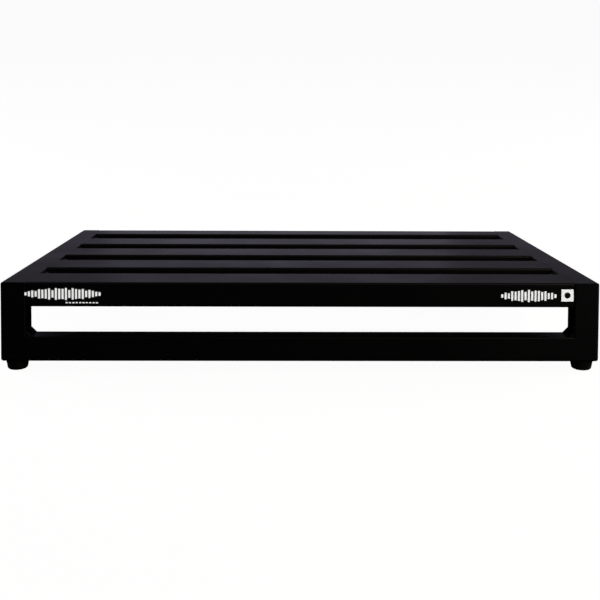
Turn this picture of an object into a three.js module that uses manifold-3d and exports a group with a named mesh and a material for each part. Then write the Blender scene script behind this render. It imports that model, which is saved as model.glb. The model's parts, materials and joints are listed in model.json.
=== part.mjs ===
// A pedalboard: a welded frame of black aluminium tube that carries guitar effects at a playing angle.
// Two side rails run from the tall riser end down to the toe end, and five cross rails between them
// make the slatted deck. At the tall end two posts and a crossbar hang below the deck as a riser loop,
// whose window lets cables through. Four rubber feet are screwed to rivet nuts in the frame's underside.
//
// Millimetres. Every piece is first placed in the deck's own frame: X across the board, Y along the deck
// from the riser end to the toe end, Z square to the deck, with Z = 0 on the deck's top. The whole group
// is then tilted until the feet stand on the floor, with +Z up and the riser end towards -Y.

import * as THREE from "three";
import { mergeVertices } from "three/addons/utils/BufferGeometryUtils.js";
import Module from "manifold-3d";

const wasm = await Module();
wasm.setup();

// The board's overall sizes.
const boardWidth = 609.6;
const boardLength = 406.4;
const riserHeight = 80.8;

// Tube sections: the side rails set the height of the two end rails and the width of the posts.
const sideRailWidth = 25.4;
const sideRailHeight = 25;
const riserRailWidth = 54.5;
const deckRailWidth = 53.5;
const deckRailHeight = 12.7;
const deckRailCount = 3;
const deckRailPitch = 90;
const toeRailWidth = 40;
const loopDepth = 25.4;
const crossbarHeight = 25;
const tubeWall = 2;
const tubeCorner = 2.4;
const tubeInsideCorner = 1;
const cornerSteps = 3;

// The gap left between welded or seated pieces.
const seam = 0.3;

// Corner gussets of the riser window.
const gussetLeg = 5.5;
const gussetInset = 1;

// Plugs in the toe ends of the side rails.
const plugHead = 2;
const plugDepth = 8;
const plugWall = 1.8;

// Rubber feet. The height is taken on the foot's own axis, from the tube to the floor, and the insets
// are from the board's side and its toe end to that axis.
const footHeight = 9;
const footTopRadius = 11.6;
const footTaper = 1.3;
const footEdgeRadius = 3;
const footSquash = 1.2;
const footSeat = 3.5;
const footInset = 14.1;
const toeFootInset = 18;
const edgeSteps = 3;
const roundSteps = 24;

// Foot fixings, each grown outwards from the screw's own radius.
const screwRadius = 2.5;
const screwLength = 16;
const headOverhang = 2.25;
const headHeight = 2.7;
const headDome = 0.9;
const driveSlotLength = 5;
const driveSlotWidth = 1.1;
const driveSlotDepth = 1.3;
const washerOverhang = 0.55;
const washerThickness = 1;
const fixingClearance = 0.3;
const nutWall = 1.2;
const nutBulge = 1;
const nutBulgeHeight = 3;
const nutFlange = 1.3;
const nutFlangeThickness = 0.8;
const nutLength = 11;
const headRadius = screwRadius + headOverhang;
const washerRadius = headRadius + washerOverhang;
const nutBodyRadius = screwRadius + nutWall;
const nutBulgeRadius = nutBodyRadius + nutBulge;
const nutFlangeRadius = nutBodyRadius + nutFlange;

// Where the pieces sit in the deck's frame.
const railSpan = boardWidth - 2 * sideRailWidth - 2 * seam;
const sideRailX = (boardWidth - sideRailWidth) / 2;
const footX = boardWidth / 2 - footInset;
const riserFoot = { y: loopDepth / 2, z: -riserHeight };
const toeFoot = { y: boardLength - toeFootInset, z: -sideRailHeight };
const slope = Math.atan2(toeFoot.z - riserFoot.z, toeFoot.y - riserFoot.y);
const cutterSize = 2 * (boardWidth + boardLength);

const finishes = {
  powderCoat: { color: 0x0c0b0d, roughness: 0.45, metalness: 0.1 },
  rubber: { color: 0x0b0b0c, roughness: 0.85, metalness: 0 },
  plastic: { color: 0x0e0e0f, roughness: 0.6, metalness: 0 },
  zincPlate: { color: 0xb4b6b8, roughness: 0.35, metalness: 0.9 },
};

// Axes that a piece's own X, Y and Z turn to, for tubes that run across and along the board.
const runsAcross = new THREE.Matrix4().makeBasis(
  new THREE.Vector3(0, 1, 0),
  new THREE.Vector3(0, 0, 1),
  new THREE.Vector3(1, 0, 0),
);
const runsAlong = new THREE.Matrix4().makeBasis(
  new THREE.Vector3(-1, 0, 0),
  new THREE.Vector3(0, 0, 1),
  new THREE.Vector3(0, 1, 0),
);

// A closed geometry as a solid that can be joined and cut.
function solidOf(geometry) {
  const bare = geometry.clone();
  bare.deleteAttribute("normal");
  bare.deleteAttribute("uv");
  const merged = mergeVertices(bare, 1e-4);
  return new wasm.Manifold(
    new wasm.Mesh({
      numProp: 3,
      vertProperties: new Float32Array(merged.attributes.position.array),
      triVerts: new Uint32Array(merged.index.array),
    }),
  );
}

// A solid back as a geometry with flat faces.
function geometryOf(solid) {
  const cut = solid.getMesh();
  const geometry = new THREE.BufferGeometry();
  geometry.setAttribute("position", new THREE.BufferAttribute(cut.vertProperties, 3));
  geometry.setIndex(new THREE.BufferAttribute(cut.triVerts, 1));
  const faceted = geometry.toNonIndexed();
  faceted.computeVertexNormals();
  return faceted;
}

function makePiece(name, geometry, finish) {
  const piece = new THREE.Mesh(geometry, new THREE.MeshStandardMaterial(finish));
  piece.name = name;
  return piece;
}

// A rectangle centred on the origin with round corners.
function roundedRectangle(width, height, radius) {
  const right = width / 2 - radius;
  const top = height / 2 - radius;
  const quarter = Math.PI / 2;
  const outline = new THREE.Shape();
  outline.absarc(right, top, radius, 0, quarter);
  outline.absarc(-right, top, radius, quarter, 2 * quarter);
  outline.absarc(-right, -top, radius, 2 * quarter, 3 * quarter);
  outline.absarc(right, -top, radius, 3 * quarter, 4 * quarter);
  outline.closePath();
  return outline;
}

// An open-ended tube with its section centred on the origin, running along +Z.
function tube(width, height, length) {
  const section = roundedRectangle(width, height, tubeCorner);
  const bore = roundedRectangle(width - 2 * tubeWall, height - 2 * tubeWall, tubeInsideCorner);
  section.holes.push(bore);
  return new THREE.ExtrudeGeometry(section, {
    depth: length,
    bevelEnabled: false,
    curveSegments: cornerSteps,
  });
}

// Takes away everything past a plane: the normal points at what goes, and half a seam goes with it.
function mitre(solid, corner, normal) {
  const direction = normal.clone().normalize();
  const block = new THREE.BoxGeometry(cutterSize, cutterSize, cutterSize);
  block.translate(0, 0, (cutterSize - seam) / 2);
  const turn = new THREE.Quaternion().setFromUnitVectors(new THREE.Vector3(0, 0, 1), direction);
  block.applyQuaternion(turn);
  block.translate(corner.x, corner.y, corner.z);
  return solid.subtract(solidOf(block));
}

// The mitre between side rail and post, from the top outer edge to the inner corner. It faces the post.
const railMitre = {
  corner: new THREE.Vector3(0, 0, 0),
  normal: new THREE.Vector3(0, -sideRailHeight, -loopDepth),
};

// The mitre between post and crossbar at one end of the loop. It faces the crossbar.
function loopMitre(side) {
  return {
    corner: new THREE.Vector3((side * boardWidth) / 2, 0, -riserHeight),
    normal: new THREE.Vector3(-side * crossbarHeight, 0, -sideRailWidth),
  };
}

// A hole down through a bottom wall for the rivet nut, whose flange bears on the wall's outside.
function cutFixingHole(solid, x, y, z) {
  const radius = nutBodyRadius + fixingClearance;
  const drillLength = 4 * tubeWall;
  const drill = new THREE.CylinderGeometry(radius, radius, drillLength, roundSteps);
  drill.rotateX(Math.PI / 2);
  drill.translate(x, y, z);
  return solid.subtract(solidOf(drill));
}

function sideRail(name, side) {
  const length = boardLength - plugHead - seam;
  const blank = tube(sideRailWidth, sideRailHeight, length);
  blank.applyMatrix4(runsAlong);
  blank.translate(0, 0, -sideRailHeight / 2);
  const mitred = mitre(solidOf(blank), railMitre.corner, railMitre.normal);
  const drilled = cutFixingHole(mitred, side * (footX - sideRailX), toeFoot.y, toeFoot.z);
  const rail = makePiece(name, geometryOf(drilled), finishes.powderCoat);
  rail.position.x = side * sideRailX;
  return rail;
}

// A cross rail between the side rails, its top flush with the deck and its near edge at startY.
function crossRail(name, width, height, startY) {
  const rail = makePiece(name, tube(width, height, railSpan), finishes.powderCoat);
  rail.geometry.applyMatrix4(runsAcross);
  rail.position.set(-railSpan / 2, startY + width / 2, -height / 2);
  return rail;
}

// The near edges of the deck rails are spaced evenly from the tall end, and the toe rail ends the deck.
function deck() {
  const rails = new THREE.Group();
  rails.add(crossRail("riser_rail", riserRailWidth, sideRailHeight, 0));
  for (let index = 0; index < deckRailCount; index++) {
    const startY = (index + 1) * deckRailPitch;
    rails.add(crossRail(`deck_rail_${index + 1}`, deckRailWidth, deckRailHeight, startY));
  }
  rails.add(crossRail("toe_rail", toeRailWidth, sideRailHeight, boardLength - toeRailWidth));
  return rails;
}

function riserPost(name, side) {
  const blank = tube(sideRailWidth, loopDepth, riserHeight);
  blank.translate(side * sideRailX, loopDepth / 2, -riserHeight);
  const { corner, normal } = loopMitre(side);
  const topCut = mitre(solidOf(blank), railMitre.corner, railMitre.normal.clone().negate());
  return makePiece(name, geometryOf(mitre(topCut, corner, normal)), finishes.powderCoat);
}

function riserCrossbar() {
  const blank = tube(loopDepth, crossbarHeight, boardWidth);
  blank.applyMatrix4(runsAcross);
  blank.translate(-boardWidth / 2, loopDepth / 2, crossbarHeight / 2 - riserHeight);
  let bar = solidOf(blank);
  for (const side of [-1, 1]) {
    const { corner, normal } = loopMitre(side);
    bar = mitre(bar, corner, normal.clone().negate());
    bar = cutFixingHole(bar, side * footX, riserFoot.y, riserFoot.z);
  }
  return makePiece("riser_crossbar", geometryOf(bar), finishes.powderCoat);
}

// A solid triangle welded into a lower corner of the window, a little shy of the loop's faces.
function cornerGusset(name, side) {
  const outline = new THREE.Shape();
  outline.moveTo(0, 0);
  outline.lineTo(gussetLeg, 0);
  outline.lineTo(0, gussetLeg);
  outline.closePath();
  const depth = loopDepth - 2 * gussetInset;
  const geometry = new THREE.ExtrudeGeometry(outline, { depth, bevelEnabled: false });
  geometry.rotateX(Math.PI / 2);
  geometry.rotateZ(side > 0 ? Math.PI : 0);
  geometry.translate(0, side > 0 ? gussetInset : loopDepth - gussetInset, 0);
  const gusset = makePiece(name, geometry, finishes.powderCoat);
  const cornerX = boardWidth / 2 - sideRailWidth - seam;
  gusset.position.set(side * cornerX, 0, crossbarHeight - riserHeight + seam);
  return gusset;
}

// A push-in plug: a head flush with the tube's outside, on a hollow skirt that grips its inside.
function toePlug(name, side) {
  const headOutline = roundedRectangle(sideRailWidth, sideRailHeight, tubeCorner);
  const head = new THREE.ExtrudeGeometry(headOutline, {
    depth: plugHead,
    bevelEnabled: false,
    curveSegments: cornerSteps,
  });
  const inset = 2 * (tubeWall + seam);
  const skirtWidth = sideRailWidth - inset;
  const skirtHeight = sideRailHeight - inset;
  const skirtOutline = roundedRectangle(skirtWidth, skirtHeight, tubeInsideCorner);
  const skirtBore = roundedRectangle(
    skirtWidth - 2 * plugWall,
    skirtHeight - 2 * plugWall,
    tubeInsideCorner,
  );
  skirtOutline.holes.push(skirtBore);
  const skirt = new THREE.ExtrudeGeometry(skirtOutline, {
    depth: plugDepth + plugHead / 2,
    bevelEnabled: false,
    curveSegments: cornerSteps,
  });
  skirt.translate(0, 0, -plugDepth);
  const plug = geometryOf(solidOf(head).add(solidOf(skirt)));
  plug.applyMatrix4(runsAlong);
  const piece = makePiece(name, plug, finishes.plastic);
  piece.position.set(side * sideRailX, boardLength - plugHead, -sideRailHeight / 2);
  return piece;
}

// A turned solid from [radius, height] points, standing along +Z.
function turned(points) {
  const profile = points.map(([radius, height]) => new THREE.Vector2(radius, height));
  const geometry = new THREE.LatheGeometry(profile, roundSteps);
  geometry.rotateX(Math.PI / 2);
  return geometry;
}

function cylinder(radius, bottom, top) {
  return turned([
    [0, bottom],
    [radius, bottom],
    [radius, top],
    [0, top],
  ]);
}

// Points of a quarter circle that turns from straight down to straight in.
function roundedEdge(radius, centreRadius, centreHeight) {
  const points = [];
  for (let step = 0; step <= edgeSteps; step++) {
    const angle = (step / edgeSteps) * (Math.PI / 2);
    points.push([
      centreRadius + radius * Math.sin(angle),
      centreHeight - radius * Math.cos(angle),
    ]);
  }
  return points;
}

// The floor as a block in the frame of a foot whose top centre is the origin.
function floorUnderFoot() {
  const floor = new THREE.BoxGeometry(cutterSize, cutterSize, cutterSize);
  floor.translate(0, 0, -cutterSize / 2);
  floor.rotateX(slope);
  floor.translate(0, 0, -footHeight);
  return floor;
}

// A tapered rubber foot, moulded with a deep recess for its screw and pressed flat by the floor.
function rubberFoot() {
  const bottom = -(footHeight + footSquash);
  const bottomRadius = footTopRadius - footTaper;
  const outline = [
    [0, bottom],
    ...roundedEdge(footEdgeRadius, bottomRadius - footEdgeRadius, bottom + footEdgeRadius),
    [footTopRadius, -seam],
    [0, -seam],
  ];
  const flangeRecess = nutFlangeThickness + 2 * seam;
  return solidOf(turned(outline))
    .subtract(solidOf(cylinder(washerRadius + fixingClearance, 2 * bottom, -footSeat)))
    .subtract(solidOf(cylinder(screwRadius + fixingClearance, 2 * bottom, 1)))
    .subtract(solidOf(cylinder(nutFlangeRadius + fixingClearance, -flangeRecess - seam, 1)))
    .subtract(solidOf(floorUnderFoot()));
}

// A plain washer under the screw's head, at the bottom of the recess.
function washer() {
  const top = -footSeat - seam;
  return turned([
    [screwRadius + fixingClearance, top - washerThickness],
    [washerRadius, top - washerThickness],
    [washerRadius, top],
    [screwRadius + fixingClearance, top],
    [screwRadius + fixingClearance, top - washerThickness],
  ]);
}

// A pan-head machine screw, driven up through the foot, with a crossed drive in its head.
function footScrew() {
  const headTop = -footSeat - 2 * seam - washerThickness;
  const headBottom = headTop - headHeight;
  const screw = turned([
    [0, headBottom],
    ...roundedEdge(headDome, headRadius - headDome, headBottom + headDome),
    [headRadius, headTop],
    [screwRadius, headTop],
    [screwRadius, headTop + screwLength],
    [0, headTop + screwLength],
  ]);
  let cut = solidOf(screw);
  for (const turn of [0, Math.PI / 2]) {
    const slot = new THREE.BoxGeometry(driveSlotLength, driveSlotWidth, 2 * driveSlotDepth);
    slot.rotateZ(turn);
    slot.translate(0, 0, headBottom);
    cut = cut.subtract(solidOf(slot));
  }
  return cut;
}

// A blind-side nut squeezed into the tube's wall: flange outside, bulge and threaded barrel inside.
function rivetNut() {
  const bore = screwRadius + fixingClearance;
  const bulgeStart = tubeWall + seam;
  return turned([
    [bore, -seam - nutFlangeThickness],
    [nutFlangeRadius, -seam - nutFlangeThickness],
    [nutFlangeRadius, -seam],
    [nutBodyRadius, -seam],
    [nutBodyRadius, bulgeStart],
    [nutBulgeRadius, bulgeStart],
    [nutBulgeRadius, bulgeStart + nutBulgeHeight],
    [nutBodyRadius, bulgeStart + nutBulgeHeight],
    [nutBodyRadius, nutLength],
    [bore, nutLength],
    [bore, -seam - nutFlangeThickness],
  ]);
}

// One foot with its fixings, under the tube at the given place.
function footSet(place, x, seat) {
  const set = new THREE.Group();
  set.add(makePiece(`foot_${place}`, geometryOf(rubberFoot()), finishes.rubber));
  set.add(makePiece(`foot_washer_${place}`, washer(), finishes.zincPlate));
  set.add(makePiece(`foot_screw_${place}`, geometryOf(footScrew()), finishes.zincPlate));
  set.add(makePiece(`rivet_nut_${place}`, rivetNut(), finishes.zincPlate));
  set.position.set(x, seat.y, seat.z);
  return set;
}

function pedalboard() {
  const board = new THREE.Group();
  board.add(deck());
  board.add(riserCrossbar());
  for (const [word, side] of [["left", -1], ["right", 1]]) {
    board.add(sideRail(`side_rail_${word}`, side));
    board.add(riserPost(`riser_post_${word}`, side));
    board.add(cornerGusset(`corner_gusset_${word}`, side));
    board.add(toePlug(`toe_plug_${word}`, side));
    board.add(footSet(`riser_${word}`, side * footX, riserFoot));
    board.add(footSet(`toe_${word}`, side * footX, toeFoot));
  }
  board.rotation.x = -slope;
  return board;
}

// Stands the tilted board on the floor, over the middle of its footprint.
function standOnFloor(board) {
  const extent = new THREE.Box3().setFromObject(board, true);
  const centre = extent.getCenter(new THREE.Vector3());
  board.position.set(-centre.x, -centre.y, -extent.min.z);
  const standing = new THREE.Group();
  standing.add(board);
  return standing;
}

export default standOnFloor(pedalboard());
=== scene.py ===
import json
import math

import bmesh
import bpy
from mathutils import Matrix, Vector


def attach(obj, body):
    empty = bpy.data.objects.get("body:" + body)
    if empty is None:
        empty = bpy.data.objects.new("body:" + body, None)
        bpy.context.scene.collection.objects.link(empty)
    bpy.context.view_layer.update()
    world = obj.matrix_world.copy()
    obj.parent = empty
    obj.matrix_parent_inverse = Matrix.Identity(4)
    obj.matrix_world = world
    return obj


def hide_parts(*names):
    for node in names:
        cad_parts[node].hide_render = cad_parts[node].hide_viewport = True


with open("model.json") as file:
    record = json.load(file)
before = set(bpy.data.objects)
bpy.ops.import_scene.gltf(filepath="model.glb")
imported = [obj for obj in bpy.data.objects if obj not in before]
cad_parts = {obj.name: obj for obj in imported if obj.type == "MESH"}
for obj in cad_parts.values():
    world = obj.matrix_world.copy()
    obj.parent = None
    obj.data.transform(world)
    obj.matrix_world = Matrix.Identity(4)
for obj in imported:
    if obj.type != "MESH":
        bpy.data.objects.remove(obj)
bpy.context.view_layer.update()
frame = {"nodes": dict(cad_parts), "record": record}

# Camera. It stands about a metre in front of the tall end, just left of the middle, and looks down on
# the deck at a shallow angle. Its lens is dropped by a quarter of the picture, as a view camera's can
# be, so that the posts stay nearly upright.
camera_turn = (79.054, -0.366, -0.701)
camera_data = bpy.data.cameras.new("camera")
camera_data.sensor_width = 36
camera_data.lens = 59.052
camera_data.shift_y = -0.2583
camera_data.clip_end = 30
camera = bpy.data.objects.new("camera", camera_data)
camera.location = (-0.01492, -1.14989, 0.41791)
camera.rotation_euler = [math.radians(angle) for angle in camera_turn]
bpy.context.scene.collection.objects.link(camera)
bpy.context.scene.camera = camera
bpy.context.scene.view_settings.view_transform = "Standard"

# Floor. A big pale table top that glows a little, like a light table, so that only faint soft shadows
# show on it. The board's satin skin mirrors it as dark close by, and as a dim violet some way behind.
floor_half = 25
floor_glow = 0.96
floor_paint = 0.16
floor_violet = (0.045, 0.041, 0.054, 1)
violet_start = 0.25
violet_end = 0.75
black = (0, 0, 0, 1)


def grey(level):
    return (level, level, level, 1)


def node(tree, kind, **settings):
    made = tree.nodes.new(kind)
    for key, value in settings.items():
        setattr(made, key, value)
    return made


def link(tree, source, output, target, socket):
    tree.links.new(source.outputs[output], target.inputs[socket])


def mix_colours(tree, first, second):
    mix = node(tree, "ShaderNodeMix", data_type="RGBA")
    mix.inputs["A"].default_value = first
    mix.inputs["B"].default_value = second
    return mix


def map_range(tree, start, end, low=0, high=1, curve="LINEAR"):
    step = node(tree, "ShaderNodeMapRange", interpolation_type=curve)
    for socket, value in (("From Min", start), ("From Max", end), ("To Min", low), ("To Max", high)):
        step.inputs[socket].default_value = value
    return step


floor_data = bpy.data.meshes.new("floor")
floor_corners = [(x * floor_half, y * floor_half, 0) for x, y in ((-1, -1), (1, -1), (1, 1), (-1, 1))]
floor_data.from_pydata(floor_corners, [], [(0, 1, 2, 3)])
floor = bpy.data.objects.new("floor", floor_data)
bpy.context.scene.collection.objects.link(floor)
floor_finish = bpy.data.materials.new("pale_floor")
floor_finish.use_nodes = True
floor_finish.cycles.emission_sampling = "NONE"
top = floor_finish.node_tree
floor_shader = top.nodes["Principled BSDF"]
floor_shader.inputs["Roughness"].default_value = 1
floor_shader.inputs["Specular IOR Level"].default_value = 0
floor_shader.inputs["Emission Strength"].default_value = 1
floor_place = node(top, "ShaderNodeNewGeometry")
floor_split = node(top, "ShaderNodeSeparateXYZ")
floor_behind = map_range(top, violet_start, violet_end, curve="SMOOTHSTEP")
floor_mirrored = mix_colours(top, black, floor_violet)
floor_ray = node(top, "ShaderNodeLightPath")
floor_emission = mix_colours(top, black, grey(floor_glow))
floor_base = mix_colours(top, black, grey(floor_paint))
link(top, floor_place, "Position", floor_split, "Vector")
link(top, floor_split, "Y", floor_behind, "Value")
link(top, floor_behind, "Result", floor_mirrored, "Factor")
link(top, floor_mirrored, "Result", floor_emission, "A")
link(top, floor_ray, "Is Camera Ray", floor_emission, "Factor")
link(top, floor_ray, "Is Camera Ray", floor_base, "Factor")
link(top, floor_emission, "Result", floor_shader, "Emission Color")
link(top, floor_base, "Result", floor_shader, "Base Color")
floor_data.materials.append(floor_finish)

# Studio. The room is white where it is looked at and dark where the board mirrors it, apart from a
# violet glow that is strongest at the horizon behind the board and a faint light from the ceiling.
room_white = 1
glow_colour = (0.035, 0.032, 0.043, 1)
ceiling_colour = (0.012, 0.012, 0.013, 1)
world = bpy.data.worlds.new("studio")
bpy.context.scene.world = world
world.use_nodes = True
sky = world.node_tree
sky.nodes.clear()
sky_direction = node(sky, "ShaderNodeTexCoord")


# How far a direction leans towards an axis, as a smooth 0 to 1 between two cosines.
def leaning(axis, start, end):
    along = node(sky, "ShaderNodeVectorMath", operation="DOT_PRODUCT")
    along.inputs[1].default_value = axis
    step = map_range(sky, start, end, curve="SMOOTHSTEP")
    link(sky, sky_direction, "Generated", along, 0)
    link(sky, along, "Value", step, "Value")
    return step


sky_behind = leaning(axis=(-0.2, 0.98, 0), start=-0.1, end=0.9)
sky_horizon = leaning(axis=(0, 0, 1), start=0.5, end=0.0)
sky_glow = node(sky, "ShaderNodeMath", operation="MULTIPLY")
link(sky, sky_behind, "Result", sky_glow, 0)
link(sky, sky_horizon, "Result", sky_glow, 1)
sky_colour = mix_colours(sky, ceiling_colour, glow_colour)
link(sky, sky_glow, "Value", sky_colour, "Factor")
sky_dim = node(sky, "ShaderNodeBackground")
link(sky, sky_colour, "Result", sky_dim, "Color")
sky_white = node(sky, "ShaderNodeBackground")
sky_white.inputs["Color"].default_value = grey(room_white)
sky_ray = node(sky, "ShaderNodeLightPath")
sky_mix = node(sky, "ShaderNodeMixShader")
sky_out = node(sky, "ShaderNodeOutputWorld")
link(sky, sky_ray, "Is Camera Ray", sky_mix, "Fac")
link(sky, sky_dim, "Background", sky_mix, 1)
link(sky, sky_white, "Background", sky_mix, 2)
link(sky, sky_mix, "Shader", sky_out, "Surface")


# Soft boxes: two low violet ones close behind the toe end, one wide and one short, a big one high
# behind, one at each side, and two small ones in front at the right, a low white and a high warm one.
def soft_box(name, place, aim, size, watts, colour=(1, 1, 1)):
    light = bpy.data.lights.new(name, "AREA")
    light.shape = "RECTANGLE"
    light.size, light.size_y = size
    light.energy = watts
    light.color = colour
    box = bpy.data.objects.new(name, light)
    box.location = place
    box.rotation_euler = (Vector(aim) - Vector(place)).to_track_quat("-Z", "Y").to_euler()
    bpy.context.scene.collection.objects.link(box)
    return box


violet = (0.84, 0.77, 1.0)
warm = (1.0, 0.86, 0.66)
board_middle = (0, 0, 0.05)
soft_box(
    "soft_box_low_behind",
    place=(-0.15, 0.37, 0.085),
    aim=(-0.1, 0, 0.06),
    size=(1.42, 0.17),
    watts=0.13,
    colour=violet,
)
soft_box(
    "soft_box_low_middle",
    place=(-0.03, 0.37, 0.085),
    aim=(-0.03, 0, 0.06),
    size=(0.54, 0.17),
    watts=0.049,
    colour=violet,
)
soft_box(
    "soft_box_high_behind",
    place=(0, 1.6, 1.3),
    aim=(0, 0, 0),
    size=(2.4, 1.2),
    watts=0.6,
)
soft_box(
    "soft_box_left",
    place=(-1.9, 0.3, 0.9),
    aim=board_middle,
    size=(1.2, 0.8),
    watts=9,
)
soft_box(
    "soft_box_right",
    place=(1.9, 0.3, 0.9),
    aim=board_middle,
    size=(1.2, 0.8),
    watts=9,
)
soft_box(
    "soft_box_low_front",
    place=(1.6, -1.6, 0.3),
    aim=(0, -0.2, 0.05),
    size=(0.8, 0.8),
    watts=1.3,
)
soft_box(
    "soft_box_high_front",
    place=(1.3, -1.0, 1.3),
    aim=(0.2, -0.2, 0.05),
    size=(0.5, 0.4),
    watts=4.5,
    colour=warm,
)

# Side rails. Square aluminium tube with a 2 mm wall, mitred at the tall end to meet the posts and
# powder coated black with the whole frame after welding. Its outer edges are eased for the hand, and
# the inner ones are left crisp.
tube_wall = 0.002
tube_corner = 0.0024
crisp_corner = 0.0014
tube_inside_corner = 0.001
corner_steps = 6
corner_signs = ((1, 1), (-1, 1), (-1, -1), (1, -1))
all_eased = [tube_corner] * 4
saw_chamfer = 0.0002

# The deck's own frame. Pieces are made level, with X across the board, Y down the deck from the tall
# end, Z square to the deck and Z = 0 on the rails' tops. One matrix then tilts each into its place.
mounts = {mount["name"]: mount for mount in frame["record"]["mounts"]}
deck_up = Vector(mounts["riser_rail_top"]["axis"])
slope = math.atan2(deck_up.y, deck_up.z)
tilt = Matrix.Rotation(-slope, 4, "X")


def corners_of(node_name, matrix):
    points = [matrix @ vertex.co for vertex in frame["nodes"][node_name].data.vertices]
    low = Vector([min(axis) for axis in zip(*points)])
    high = Vector([max(axis) for axis in zip(*points)])
    return low, high


riser_low, riser_high = corners_of("riser_rail", tilt.inverted())
deck_matrix = tilt @ Matrix.Translation((0, riser_low.y, riser_high.z))
deck_inverse = deck_matrix.inverted()


def deck_box(node_name):
    return corners_of(node_name, deck_inverse)


# A finished piece: its mesh is tilted into place, it gets its material, and it hangs under the root body.
def add_piece(name, mesh, material, slot, *nodes):
    mesh.transform(deck_matrix)
    piece = bpy.data.objects.new(name, mesh)
    bpy.context.scene.collection.objects.link(piece)
    mesh.materials.append(material)
    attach(piece, "root")
    if nodes:
        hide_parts(*nodes)
    return piece


# Smooth shading with flat faces kept flat: gentle edges are smooth, and big faces set the normals.
sharp_angle = math.radians(35)
flat_face_weight = 100


def finish_mesh(name, shape):
    bmesh.ops.recalc_face_normals(shape, faces=shape.faces)
    for face in shape.faces:
        face.smooth = True
    for edge in shape.edges:
        if len(edge.link_faces) == 2 and edge.calc_face_angle() > sharp_angle:
            edge.smooth = False
    mesh = bpy.data.meshes.new(name)
    shape.to_mesh(mesh)
    shape.free()
    holder = bpy.data.objects.new(name + "_shading", mesh)
    bpy.context.scene.collection.objects.link(holder)
    weighting = holder.modifiers.new("flat_faces", "WEIGHTED_NORMAL")
    weighting.keep_sharp = True
    weighting.weight = flat_face_weight
    graph = bpy.context.evaluated_depsgraph_get()
    shaded = bpy.data.meshes.new_from_object(holder.evaluated_get(graph))
    shaded.name = name
    bpy.data.objects.remove(holder)
    bpy.data.meshes.remove(mesh)
    return shaded


def rounded_section(width, height, radii):
    points = []
    for turn, (side, level) in enumerate(corner_signs):
        radius = radii[turn]
        centre_x = side * (width / 2 - radius)
        centre_y = level * (height / 2 - radius)
        for step in range(corner_steps + 1):
            angle = (turn + step / corner_steps) * math.pi / 2
            points.append((centre_x + radius * math.cos(angle), centre_y + radius * math.sin(angle)))
    return points


def ring_between(shape, start, end):
    count = len(start)
    for index in range(count):
        following = (index + 1) % count
        shape.faces.new((start[index], start[following], end[following], end[index]))


# The radii of a tube's four corners, with the two on its `inner` side left crisp.
def crisp_edges(across, upward, inner):
    radii = []
    for side, level in corner_signs:
        facing_in = (across * side + upward * level).dot(inner) > 0
        radii.append(crisp_corner if facing_in else tube_corner)
    return radii


# A hollow tube about the line through `centre` along `run`, cut off by a plane at each end. A plane
# is a point and a normal, and its cut is broken by a small chamfer. The setbacks are the distances
# from a cut at which the outside has a ring of vertices.
def tube_shape(centre, across, upward, run, size, start, end, setbacks=(saw_chamfer,), radii=all_eased):
    width, height = size
    outer = rounded_section(width, height, radii)
    inner = rounded_section(width - 2 * tube_wall, height - 2 * tube_wall, [tube_inside_corner] * 4)
    lip_radii = [radius - saw_chamfer for radius in radii]
    lip = rounded_section(width - 2 * saw_chamfer, height - 2 * saw_chamfer, lip_radii)
    shape = bmesh.new()
    ends = []
    for plane_point, plane_normal, inward in ((*start, 1), (*end, -1)):
        rings = []
        for section, setback in [(outer, setback) for setback in setbacks] + [(lip, 0), (inner, 0)]:
            ring = []
            for a, b in section:
                origin = centre + across * a + upward * b
                reach = (plane_point - origin).dot(plane_normal) / run.dot(plane_normal)
                ring.append(shape.verts.new(origin + run * (reach + inward * setback)))
            rings.append(ring)
        for ring, following in zip(rings, rings[1:]):
            ring_between(shape, ring, following)
        ends.append(rings)
    start_rings, end_rings = ends
    ring_between(shape, start_rings[0], end_rings[0])
    ring_between(shape, start_rings[-1], end_rings[-1])
    return shape


# Powder coat: a satin black epoxy skin over the whole welded frame. It has a fine orange peel, a slow
# drift of gloss where the powder lay thicker, and a trace of dust on what looks up.
def group_socket(group, name, kind, way="INPUT", value=None):
    socket = group.interface.new_socket(name=name, in_out=way, socket_type=kind)
    if value is not None:
        socket.default_value = value
    return socket


# Settled dust: a mask from 0 to 1 that gathers on faces that look up, broken by soft noise.
dust_start = 0.42
dust_full = 0.78
dust_group = bpy.data.node_groups.new("settled_dust", "ShaderNodeTree")
group_socket(dust_group, "Scale", "NodeSocketFloat", value=60)
group_socket(dust_group, "Amount", "NodeSocketFloat", value=0.1)
group_socket(dust_group, "Mask", "NodeSocketFloat", "OUTPUT")
dust_in = node(dust_group, "NodeGroupInput")
dust_out = node(dust_group, "NodeGroupOutput")
dust_place = node(dust_group, "ShaderNodeTexCoord")
dust_noise = node(dust_group, "ShaderNodeTexNoise")
dust_noise.inputs["Detail"].default_value = 6
dust_noise.inputs["Roughness"].default_value = 0.62
dust_range = map_range(dust_group, dust_start, dust_full)
dust_facing = node(dust_group, "ShaderNodeNewGeometry")
dust_split = node(dust_group, "ShaderNodeSeparateXYZ")
dust_up = node(dust_group, "ShaderNodeMath", operation="MAXIMUM")
dust_up.inputs[1].default_value = 0
dust_share = node(dust_group, "ShaderNodeMath", operation="MULTIPLY")
dust_mask = node(dust_group, "ShaderNodeMath", operation="MULTIPLY")
link(dust_group, dust_place, "Object", dust_noise, "Vector")
link(dust_group, dust_in, "Scale", dust_noise, "Scale")
link(dust_group, dust_noise, "Fac", dust_range, "Value")
link(dust_group, dust_facing, "Normal", dust_split, "Vector")
link(dust_group, dust_split, "Z", dust_up, 0)
link(dust_group, dust_up, "Value", dust_share, 0)
link(dust_group, dust_range, "Result", dust_share, 1)
link(dust_group, dust_share, "Value", dust_mask, 0)
link(dust_group, dust_in, "Amount", dust_mask, 1)
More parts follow.
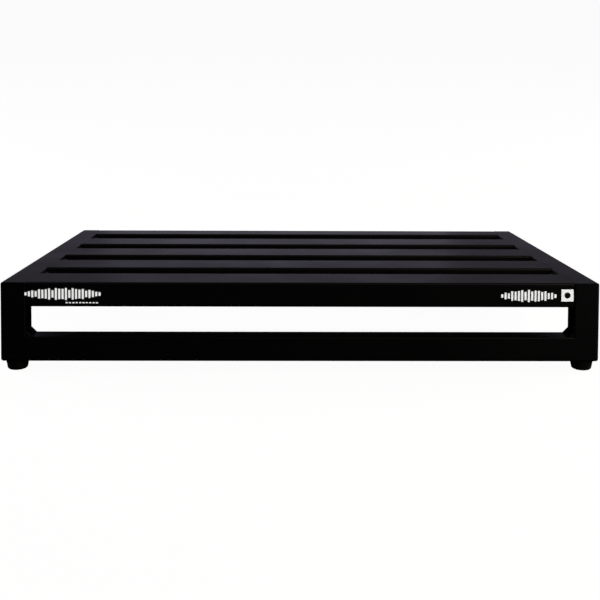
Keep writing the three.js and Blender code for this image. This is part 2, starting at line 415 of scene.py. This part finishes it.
link(dust_group, dust_mask, "Value", dust_out, "Mask")

# Skin texture: orange peel or moulded grain as a height, from two sizes of noise.
skin_group = bpy.data.node_groups.new("skin_texture", "ShaderNodeTree")
group_socket(skin_group, "Coarse Scale", "NodeSocketFloat", value=500)
group_socket(skin_group, "Fine Scale", "NodeSocketFloat", value=1800)
group_socket(skin_group, "Fine Share", "NodeSocketFloat", value=0.3)
group_socket(skin_group, "Height", "NodeSocketFloat", "OUTPUT")
skin_in = node(skin_group, "NodeGroupInput")
skin_out = node(skin_group, "NodeGroupOutput")
skin_place = node(skin_group, "ShaderNodeTexCoord")
skin_coarse = node(skin_group, "ShaderNodeTexNoise")
skin_coarse.inputs["Detail"].default_value = 1
skin_fine = node(skin_group, "ShaderNodeTexNoise")
skin_fine.inputs["Detail"].default_value = 2
skin_mix = node(skin_group, "ShaderNodeMix", data_type="FLOAT")
link(skin_group, skin_place, "Object", skin_coarse, "Vector")
link(skin_group, skin_place, "Object", skin_fine, "Vector")
link(skin_group, skin_in, "Coarse Scale", skin_coarse, "Scale")
link(skin_group, skin_in, "Fine Scale", skin_fine, "Scale")
link(skin_group, skin_in, "Fine Share", skin_mix, "Factor")
link(skin_group, skin_coarse, "Fac", skin_mix, "A")
link(skin_group, skin_fine, "Fac", skin_mix, "B")
link(skin_group, skin_mix, "Result", skin_out, "Height")


def use_group(tree, group, **values):
    made = node(tree, "ShaderNodeGroup")
    made.node_tree = group
    for key, value in values.items():
        made.inputs[key.replace("_", " ")].default_value = value
    return made


def new_material(name):
    material = bpy.data.materials.new(name)
    material.use_nodes = True
    return material, material.node_tree, material.node_tree.nodes["Principled BSDF"]


def add_bump(tree, shader, source, output, strength, distance):
    bump = node(tree, "ShaderNodeBump")
    bump.inputs["Strength"].default_value = strength
    bump.inputs["Distance"].default_value = distance
    link(tree, source, output, bump, "Height")
    link(tree, bump, "Normal", shader, "Normal")


def add_colour(tree, shader, source, output, first, second):
    colour = mix_colours(tree, first, second)
    link(tree, source, output, colour, "Factor")
    link(tree, colour, "Result", shader, "Base Color")


def add_gloss(tree, shader, source, output, low, high, start=0, end=1):
    gloss = map_range(tree, start, end, low, high)
    link(tree, source, output, gloss, "Value")
    link(tree, gloss, "Result", shader, "Roughness")


coat_black = (0.0042, 0.0040, 0.0046, 1)
coat_dust = (0.030, 0.029, 0.031, 1)
powder_coat, coat, coat_shader = new_material("powder_coat")
coat_skin = use_group(coat, skin_group, Coarse_Scale=420.0, Fine_Scale=1700.0, Fine_Share=0.35)
coat_settled = use_group(coat, dust_group, Scale=90.0, Amount=0.10)
coat_place = node(coat, "ShaderNodeTexCoord")
coat_drift = node(coat, "ShaderNodeTexNoise")
coat_drift.inputs["Scale"].default_value = 14
coat_drift.inputs["Detail"].default_value = 3
link(coat, coat_place, "Object", coat_drift, "Vector")
add_bump(coat, coat_shader, coat_skin, "Height", strength=0.35, distance=0.00006)
add_colour(coat, coat_shader, coat_settled, "Mask", coat_black, coat_dust)
add_gloss(coat, coat_shader, coat_drift, "Fac", low=0.40, high=0.47, start=0.3, end=0.7)

x_axis = Vector((1, 0, 0))
y_axis = Vector((0, 1, 0))
z_axis = Vector((0, 0, 1))
ground_seam = 0.00004

rail_low, rail_high = deck_box("side_rail_right")
crossbar_low, crossbar_high = deck_box("riser_crossbar")
board_side = rail_high.x
inner_side = rail_low.x
rail_size = (rail_high.x - rail_low.x, rail_high.z - rail_low.z)
loop_depth = crossbar_high.y - crossbar_low.y
sides = (("left", -1), ("right", 1))
rail_mitre = Vector((0, rail_size[1], loop_depth)).normalized()


def add_frame_tube(name, node_name, shape):
    add_piece(name, finish_mesh(name, shape), powder_coat, "powder_coated_frame", node_name)


for word, side in sides:
    low, high = deck_box(f"side_rail_{word}")
    centre = Vector(((low.x + high.x) / 2, 0, -rail_size[1] / 2))
    mitred_end = (rail_mitre * ground_seam, rail_mitre)
    square_end = (high, y_axis)
    edges = crisp_edges(-x_axis, z_axis, -side * x_axis)
    shape = tube_shape(centre, -x_axis, z_axis, y_axis, rail_size, mitred_end, square_end, radii=edges)
    add_frame_tube(f"side_tube_{word}", f"side_rail_{word}", shape)

# Cross rails. Rectangular tube cut square and welded between the side rails, tops flush: a wide deep
# one at the tall end, three flat slats and a deep narrower one at the toe.
cross_rails = ("riser_rail", "deck_rail_1", "deck_rail_2", "deck_rail_3", "toe_rail")
weld_gap = 0.00018
rail_end = (inner_side - weld_gap) * x_axis
for rail in cross_rails:
    low, high = deck_box(rail)
    centre = Vector((0, (low.y + high.y) / 2, (low.z + high.z) / 2))
    size = (high.y - low.y, high.z - low.z)
    ends = ((-rail_end, x_axis), (rail_end, x_axis))
    add_frame_tube(f"{rail}_tube", rail, tube_shape(centre, y_axis, z_axis, x_axis, size, *ends))

# Riser loop. Two posts and a crossbar of the same square tube, mitred at all four corners, hang
# square to the deck at the tall end and leave a wide window for cables. The bottom corners are
# ground round after welding.
crossbar_height = crossbar_high.z - crossbar_low.z
loop_bottom = crossbar_low.z
corner_round = 0.0036
loop_setbacks = (0.0040, 0.0033, 0.0026, 0.0019, 0.0012, 0.0006, saw_chamfer)
loop_corners = {}


def grind_corners(shape):
    for vertex in shape.verts:
        side = math.copysign(1, vertex.co.x)
        centre_x = side * (board_side - corner_round)
        centre_z = loop_bottom + corner_round
        out_x = side * (vertex.co.x - centre_x)
        out_z = centre_z - vertex.co.z
        reach = math.hypot(out_x, out_z)
        if out_x > 0 and out_z > 0 and reach > corner_round:
            vertex.co.x = centre_x + side * out_x * corner_round / reach
            vertex.co.z = centre_z - out_z * corner_round / reach
    return shape


for word, side in sides:
    corner = Vector((side * board_side, 0, loop_bottom))
    toward_crossbar = Vector((-side * crossbar_height, 0, -rail_size[0])).normalized()
    loop_corners[side] = (corner, toward_crossbar)
    centre = Vector((side * (board_side + inner_side) / 2, loop_depth / 2, 0))
    foot_end = (corner - toward_crossbar * ground_seam, toward_crossbar)
    head_end = (-rail_mitre * ground_seam, rail_mitre)
    size = (rail_size[0], loop_depth)
    edges = crisp_edges(x_axis, y_axis, -side * x_axis)
    shape = tube_shape(centre, x_axis, y_axis, z_axis, size, foot_end, head_end, loop_setbacks, edges)
    add_frame_tube(f"post_tube_{word}", f"riser_post_{word}", grind_corners(shape))

crossbar_ends = []
for side in (-1, 1):
    corner, toward_crossbar = loop_corners[side]
    crossbar_ends.append((corner + toward_crossbar * ground_seam, toward_crossbar))
crossbar_centre = Vector((0, loop_depth / 2, loop_bottom + crossbar_height / 2))
crossbar_size = (loop_depth, crossbar_height)
edges = crisp_edges(y_axis, z_axis, z_axis)
shape = tube_shape(
    crossbar_centre, y_axis, z_axis, x_axis, crossbar_size, *crossbar_ends, loop_setbacks, edges
)
add_frame_tube("crossbar_tube", "riser_crossbar", grind_corners(shape))

# Corner gussets. A small solid triangle fills each lower corner of the window; it is welded to the
# post and the crossbar, and its edges are dressed round.
gusset_edge = 0.0007
gusset_fit = 0.0003
gusset_edge_steps = 3
round_profile = 0.5
for word, side in sides:
    low, high = deck_box(f"corner_gusset_{word}")
    corner_x = side * inner_side
    corner_z = low.z - gusset_fit
    leg_x = -side * (high.x - low.x + gusset_fit)
    leg_z = high.z - low.z + gusset_fit
    shape = bmesh.new()
    near_face = []
    for step_x, step_z in ((0, 0), (leg_x, 0), (0, leg_z)):
        near_face.append(shape.verts.new((corner_x + step_x, low.y, corner_z + step_z)))
    gusset_face = shape.faces.new(near_face)
    pulled = bmesh.ops.extrude_face_region(shape, geom=[gusset_face])
    far_face = [item for item in pulled["geom"] if isinstance(item, bmesh.types.BMVert)]
    bmesh.ops.translate(shape, verts=far_face, vec=y_axis * (high.y - low.y))
    bmesh.ops.bevel(
        shape,
        geom=shape.edges[:],
        offset=gusset_edge,
        segments=gusset_edge_steps,
        affect="EDGES",
        profile=round_profile,
    )
    mesh = finish_mesh(f"gusset_{word}", shape)
    add_piece(f"gusset_{word}", mesh, powder_coat, "powder_coated_frame", f"corner_gusset_{word}")

# Weld beads. Each cross rail is fillet welded inside the frame, where hands and pedals don't touch,
# with the even ripples of a hand-fed torch. They are coated over with the frame.
ripple_pitch = 0.0021
ripple_steps = 6
ripple_swell = 0.07
ripple_bow = 0.0007
bead_arc_steps = 6
fillet_leg = 0.0034
butt_leg = 0.00208
bead_crown = 0.30
bead_root = 0.1
bead_end_share = 0.4


# One bead from start to end, filling the corner between two faces. `first` and `second` lie in the
# faces and point away from the corner, and `outward` is where the bead's crown swells to.
def add_bead(shape, start, end, first, second, outward, leg):
    length = (end - start).length
    direction = (end - start).normalized()
    count = max(ripple_steps, round(length / ripple_pitch * ripple_steps))
    previous = None
    for index in range(count + 1):
        along = index / count * length
        ripple = math.cos(along / ripple_pitch * 2 * math.pi)
        nearest_end = min(along, length - along)
        taper = min(1, bead_end_share + (1 - bead_end_share) * nearest_end / leg)
        reach = leg * taper * (1 + ripple_swell * ripple)
        ring = [shape.verts.new(start + direction * along - outward * leg * bead_root)]
        for step in range(bead_arc_steps + 1):
            share = step / bead_arc_steps
            crown = math.sin(math.pi * share)
            across = (first * (1 - share) + second * share) * reach
            lift = outward * (bead_crown * crown * reach)
            lag = direction * (ripple_bow * crown * taper)
            ring.append(shape.verts.new(start + direction * along + across + lift + lag))
        if previous:
            ring_between(shape, previous, ring)
        else:
            shape.faces.new(ring)
        previous = ring
    shape.faces.new(previous)


bead_inset = tube_corner
bead_top = 0.0048
deep_rail_share = 0.9
for rail in cross_rails:
    low, high = deck_box(rail)
    full_height = high.z - low.z > rail_size[1] * deep_rail_share
    for word, side in sides:
        shape = bmesh.new()
        seam_x = side * inner_side
        inward = -side * x_axis
        floor_start = Vector((seam_x, low.y + bead_inset, low.z))
        floor_end = Vector((seam_x, high.y - bead_inset, low.z))
        if full_height:
            butt_start = floor_start
            if low.y < loop_depth:
                butt_start = Vector((seam_x, loop_depth + bead_inset, low.z))
            add_bead(shape, butt_start, floor_end, inward, -inward, -z_axis, butt_leg)
        else:
            outward = (inward - z_axis).normalized()
            add_bead(shape, floor_start, floor_end, inward, -z_axis, outward, fillet_leg)
        for face_y, away in ((low.y, -y_axis), (high.y, y_axis)):
            at_board_end = face_y < loop_depth or face_y > rail_high.y - loop_depth / 2
            if at_board_end:
                continue
            top = Vector((seam_x, face_y, high.z - bead_top))
            bottom = Vector((seam_x, face_y, low.z + bead_inset / 2))
            outward = (inward + away).normalized()
            add_bead(shape, top, bottom, inward, away, outward, fillet_leg)
        mesh = finish_mesh(f"weld_{rail}_{word}", shape)
        add_piece(f"weld_{rail}_{word}", mesh, powder_coat, "powder_coated_frame")

for word, side in sides:
    shape = bmesh.new()
    low, high = deck_box(f"riser_post_{word}")
    start = Vector((low.x + bead_inset, loop_depth, -rail_size[1]))
    end = Vector((high.x - bead_inset, loop_depth, -rail_size[1]))
    outward = (y_axis - z_axis).normalized()
    add_bead(shape, start, end, y_axis, -z_axis, outward, fillet_leg)
    mesh = finish_mesh(f"weld_post_{word}", shape)
    add_piece(f"weld_post_{word}", mesh, powder_coat, "powder_coated_frame")

# Toe plugs. Push-in caps of moulded black polyethylene close the open toe ends of the side rails;
# the head is as wide as the tube, with a soft edge, a shallow dish and a gate mark in the middle.
# A moulded skin has a fine grain, duller where the grain stands high, and dust where it looks up.
def moulded_material(name, dark, dusty, grain, bump, dust, gloss):
    material, tree, shader = new_material(name)
    skin = use_group(tree, skin_group, **grain)
    settled = use_group(tree, dust_group, **dust)
    add_bump(tree, shader, skin, "Height", **bump)
    add_colour(tree, shader, settled, "Mask", dark, dusty)
    add_gloss(tree, shader, skin, "Height", **gloss)
    return material


plug_plastic = moulded_material(
    "plug_plastic",
    dark=(0.0075, 0.0075, 0.008, 1),
    dusty=(0.05, 0.048, 0.046, 1),
    grain={"Coarse_Scale": 900.0, "Fine_Scale": 3200.0, "Fine_Share": 0.5},
    bump={"strength": 0.5, "distance": 0.00005},
    dust={"Scale": 140.0, "Amount": 0.25},
    gloss={"low": 0.48, "high": 0.62},
)

plug_head = 0.002
plug_fit = 0.00025
plug_corner_growth = 1 / 3
plug_corner_spare = 0.0001
plug_rings = (
    (0.0, -plug_fit),
    (0.0, 0.0013),
    (0.00018, 0.0017),
    (0.0005, 0.0019),
    (0.0009, plug_head),
    (0.0032, plug_head),
    (0.0036, 0.0018),
    (0.0040, 0.0016),
    (0.0090, 0.0016),
    (0.0105, 0.00165),
    (0.0107, 0.0019),
    (0.0112, 0.0019),
)
for word, side in sides:
    low, high = deck_box(f"toe_plug_{word}")
    centre = (low + high) / 2
    head_start = high.y - plug_head
    shape = bmesh.new()
    previous = None
    for inset, depth in plug_rings:
        width = rail_size[0] - 2 * inset
        height = rail_size[1] - 2 * inset
        corner = min(tube_corner + inset * plug_corner_growth, width / 2 - plug_corner_spare)
        section = rounded_section(width, height, [corner] * 4)
        ring = [shape.verts.new((centre.x + a, head_start + depth, centre.z + b)) for a, b in section]
        if previous:
            ring_between(shape, previous, ring)
        else:
            shape.faces.new(ring)
        previous = ring
    shape.faces.new(previous)
    mesh = finish_mesh(f"plug_{word}", shape)
    add_piece(f"plug_{word}", mesh, plug_plastic, "toe_plug_plastic", f"toe_plug_{word}")

# Rubber feet. Tapered bumpers of moulded black rubber, one under each corner, screwed through a deep
# recess. The tilt of the board presses each one flat over most of its sole.
foot_rubber = moulded_material(
    "foot_rubber",
    dark=(0.0048, 0.0048, 0.0050, 1),
    dusty=(0.035, 0.034, 0.032, 1),
    grain={"Coarse_Scale": 700.0, "Fine_Scale": 2600.0, "Fine_Share": 0.6},
    bump={"strength": 0.6, "distance": 0.00008},
    dust={"Scale": 160.0, "Amount": 0.4},
    gloss={"low": 0.72, "high": 0.90},
)

turning_steps = 72
merge_distance = 1e-7


# A turned shape about an axis square to the deck. The profile is a loop of radius and height that
# closes on itself, or a line that starts and ends on the axis.
def turned_shape(centre, profile):
    shape = bmesh.new()
    first = None
    previous = None
    for step in range(turning_steps):
        angle = step / turning_steps * 2 * math.pi
        ring = []
        for radius, height in profile:
            offset = Vector((radius * math.cos(angle), radius * math.sin(angle), height))
            ring.append(shape.verts.new(centre + offset))
        if previous:
            ring_between(shape, previous, ring)
        else:
            first = ring
        previous = ring
    ring_between(shape, previous, first)
    bmesh.ops.remove_doubles(shape, verts=shape.verts[:], dist=merge_distance)
    return shape


# Points of a quarter round of a profile's corner, starting outward or downward from its centre.
outward_start = 0
downward_start = 270
quarter_steps = 6


def quarter_round(radius, centre_radius, centre_height, start_angle):
    points = []
    for step in range(quarter_steps + 1):
        angle = math.radians(start_angle + 90 * step / quarter_steps)
        points.append((centre_radius + radius * math.cos(angle), centre_height + radius * math.sin(angle)))
    return points


foot_height = 0.009
foot_top_gap = 0.0002
foot_squash = 0.0012
foot_taper = 0.0013
foot_sole_edge = 0.003
foot_top_edge = 0.0004
sole_blend = 0.0006
recess_radius = 0.0056
recess_lip = 0.0005
recess_lip_round = 0.0001
foot_seat = 0.0035
seat_round = 0.0003
screw_hole = 0.0028
foot_places = ("riser_left", "riser_right", "toe_left", "toe_right")
for place in foot_places:
    low, high = deck_box(f"foot_{place}")
    foot_radius = (high.x - low.x) / 2
    seat = Vector(((low.x + high.x) / 2, (low.y + high.y) / 2, high.z + foot_top_gap))
    sole = -(foot_height + foot_squash)
    sole_radius = foot_radius - foot_taper
    top_centre = (foot_radius - foot_top_edge, -foot_top_edge)
    sole_centre = (sole_radius - foot_sole_edge, sole + foot_sole_edge)
    profile = [(screw_hole, 0)]
    profile += reversed(quarter_round(foot_top_edge, *top_centre, outward_start))
    profile += reversed(quarter_round(foot_sole_edge, *sole_centre, downward_start))
    profile += [(sole_radius - foot_sole_edge - sole_blend, sole), (recess_radius + recess_lip, sole)]
    profile += [(recess_radius + recess_lip_round, sole + recess_lip_round)]
    profile += [(recess_radius, sole + recess_lip)]
    profile += [(recess_radius, -foot_seat - seat_round), (recess_radius - seat_round, -foot_seat)]
    profile += [(screw_hole, -foot_seat)]
    shape = turned_shape(seat, profile)
    for vertex in shape.verts:
        below_floor = -(deck_matrix @ vertex.co).z
        if below_floor > 0:
            vertex.co.z += below_floor / deck_up.z
    mesh = finish_mesh(f"rubber_{place}", shape)
    add_piece(f"rubber_{place}", mesh, foot_rubber, "foot_rubber", f"foot_{place}")

# Fixings. Bright zinc plated steel: a pan head screw with a cross slot holds each foot through a
# plain washer, and draws into a rivet nut set in the tube's wall.
zinc_cool = (0.46, 0.47, 0.49, 1)
zinc_warm = (0.66, 0.65, 0.61, 1)
zinc_plate, zinc, zinc_shader = new_material("zinc_plate")
zinc_shader.inputs["Metallic"].default_value = 1
zinc_place = node(zinc, "ShaderNodeTexCoord")
zinc_spangle = node(zinc, "ShaderNodeTexNoise")
zinc_spangle.inputs["Scale"].default_value = 1300
zinc_spangle.inputs["Detail"].default_value = 4
link(zinc, zinc_place, "Object", zinc_spangle, "Vector")
add_colour(zinc, zinc_shader, zinc_spangle, "Fac", zinc_cool, zinc_warm)
add_gloss(zinc, zinc_shader, zinc_spangle, "Fac", low=0.24, high=0.42)
add_bump(zinc, zinc_shader, zinc_spangle, "Fac", strength=0.3, distance=0.00002)

slot_length = 0.0052
slot_width = 0.0011
slot_depth = 0.0016
slot_mouth_share = 1.15
slot_floor_share = 0.45
slot_taper = 0.4
blade_rise = 0.001
screw_clearance = 0.0003
screw_head_height = 0.0027
head_crown_share = 0.45
head_crown = 0.00008
head_round = 0.0012
head_round_height = 0.0013
tip_chamfer = 0.0006
washer_edge = 0.00015


# A tapered blade across the head: two of them, crossed, cut the drive recess.
def add_blade(shape, centre, turned):
    ends = []
    for level, share in ((-blade_rise, slot_mouth_share), (slot_depth, slot_floor_share)):
        half_length = slot_length / 2 * share
        half_width = slot_width / 2 * (1 - slot_taper + slot_taper * share)
        if turned:
            half_length, half_width = half_width, half_length
        ring = []
        for x, y in corner_signs:
            ring.append(shape.verts.new(centre + Vector((x * half_length, y * half_width, level))))
        ends.append(ring)
    ring_between(shape, ends[0], ends[1])
    shape.faces.new(ends[0])
    shape.faces.new(ends[1])


def cut_with(target, cutter):
    cutting = target.modifiers.new("drive", "BOOLEAN")
    cutting.operation = "DIFFERENCE"
    cutting.solver = "EXACT"
    cutting.object = cutter
    graph = bpy.context.evaluated_depsgraph_get()
    cut = bpy.data.meshes.new_from_object(target.evaluated_get(graph))
    target.modifiers.clear()
    target.data = cut


for place in foot_places:
    low, high = deck_box(f"foot_washer_{place}")
    seat = Vector(((low.x + high.x) / 2, (low.y + high.y) / 2, low.z))
    rim = (high.x - low.x) / 2
    thick = high.z - low.z
    washer_profile = [
        (screw_hole, washer_edge),
        (screw_hole + washer_edge, 0),
        (rim - washer_edge, 0),
        (rim, washer_edge),
        (rim, thick - washer_edge),
        (rim - washer_edge, thick),
        (screw_hole, thick),
    ]
    mesh = finish_mesh(f"washer_{place}", turned_shape(seat, washer_profile))
    add_piece(f"washer_{place}", mesh, zinc_plate, "fixing_steel", f"foot_washer_{place}")

    low, high = deck_box(f"foot_screw_{place}")
    seat = Vector(((low.x + high.x) / 2, (low.y + high.y) / 2, low.z))
    head_radius = (high.x - low.x) / 2
    shank_radius = screw_hole - screw_clearance
    tip = high.z - low.z
    screw_profile = [(0, 0), (head_radius * head_crown_share, head_crown)]
    screw_profile += quarter_round(head_round, head_radius - head_round, head_round_height, downward_start)
    screw_profile += [(head_radius, screw_head_height), (shank_radius, screw_head_height)]
    screw_profile += [(shank_radius, tip - tip_chamfer), (shank_radius - tip_chamfer, tip), (0, tip)]
    head = finish_mesh(f"screw_{place}", turned_shape(seat, screw_profile))
    screw = add_piece(f"screw_{place}", head, zinc_plate, "fixing_steel", f"foot_screw_{place}")
    for turned in (False, True):
        blade = bmesh.new()
        add_blade(blade, seat, turned)
        cutter = bpy.data.objects.new("blade", finish_mesh("blade", blade))
        cutter.data.transform(deck_matrix)
        bpy.context.scene.collection.objects.link(cutter)
        cut_with(screw, cutter)
        bpy.data.objects.remove(cutter)
    nut = frame["nodes"][f"rivet_nut_{place}"]
    nut.data.materials.clear()
    nut.data.materials.append(zinc_plate)

# Printed marks. Thin white screen ink on the front of the riser rail: at the left a row of plain
# upright bars over a short row of dashes, and at the right a shorter row of bars beside a square
# badge with a round hole.
ink_cool = (0.74, 0.75, 0.76, 1)
ink_white = (0.88, 0.88, 0.88, 1)
white_ink, ink, ink_shader = new_material("white_ink")
ink_shader.inputs["Roughness"].default_value = 0.5
ink_skin = use_group(ink, skin_group, Coarse_Scale=600.0, Fine_Scale=2400.0, Fine_Share=0.5)
add_colour(ink, ink_shader, ink_skin, "Height", ink_cool, ink_white)
add_bump(ink, ink_shader, ink_skin, "Height", strength=0.3, distance=0.00004)

ink_faces = (0.00002, -0.00008)
bar_width = 0.0021
bar_pitch = 0.0034
bar_round = 0.0003
tallest_bar = 0.0125
end_lead = 0.7
end_room = 0.4
shortest_share = 0.62
beat_start = 0.5


# A flat patch of ink with round corners on the front face, centred at x and z.
def add_patch(shape, x, z, width, height, radius):
    rings = []
    for y in ink_faces:
        ring = []
        for a, b in rounded_section(width, height, [radius] * 4):
            ring.append(shape.verts.new((x + a, y, z + b)))
        rings.append(ring)
    ring_between(shape, rings[0], rings[1])
    shape.faces.new(rings[0])
    shape.faces.new(rings[1])


# A row of bars about a level line. It swells in the middle, and the bars rise and fall with a beat.
def add_bars(shape, start_x, middle, count, beat_rate):
    for index in range(count):
        swell = math.sqrt(math.sin(math.pi * (index + end_lead) / (count + end_room)))
        beat = shortest_share + (1 - shortest_share) * abs(math.sin(beat_rate * index + beat_start))
        x = start_x + index * bar_pitch
        add_patch(shape, x, middle, bar_width, tallest_bar * swell * beat, bar_round)


left_start = -0.2790
left_middle = -0.0118
dash_start = -0.2375
dash_level = -0.0207
dash_height = 0.0012
dash_count = 10
shape = bmesh.new()
add_bars(shape, left_start, left_middle, count=23, beat_rate=1.9)
for index in range(dash_count):
    add_patch(shape, dash_start + index * bar_pitch, dash_level, bar_width, dash_height, bar_round)
mark_left = add_piece("mark_left", finish_mesh("mark_left", shape), white_ink, "powder_coated_frame")

right_start = 0.2050
right_middle = -0.0130
badge_x = 0.2717
badge_middle = -0.0124
badge_size = 0.0124
badge_round = 0.0006
badge_hole = 0.0032
hole_round = 0.00319
shape = bmesh.new()
add_bars(shape, right_start, right_middle, count=17, beat_rate=1.3)
badge_edge = rounded_section(badge_size, badge_size, [badge_round] * 4)
hole_edge = rounded_section(2 * badge_hole, 2 * badge_hole, [hole_round] * 4)
rings = []
for y in ink_faces:
    for edge in (badge_edge, hole_edge):
        rings.append([shape.verts.new((badge_x + a, y, badge_middle + b)) for a, b in edge])
outer_back, inner_back, outer_front, inner_front = rings
ring_between(shape, outer_back, outer_front)
ring_between(shape, outer_front, inner_front)
ring_between(shape, inner_front, inner_back)
ring_between(shape, inner_back, outer_back)
mark_right = add_piece("mark_right", finish_mesh("mark_right", shape), white_ink, "powder_coated_frame")

# A front soft box that lights only the two marks, so that the ink is white beside the dim frame.
marks = bpy.data.collections.new("marks")
marks.objects.link(mark_left)
marks.objects.link(mark_right)
mark_light = soft_box(
    "soft_box_marks",
    place=(0, -2, 1),
    aim=(0, -0.2, 0.07),
    size=(1.2, 0.6),
    watts=40,
)
mark_light.light_linking.receiver_collection = marks
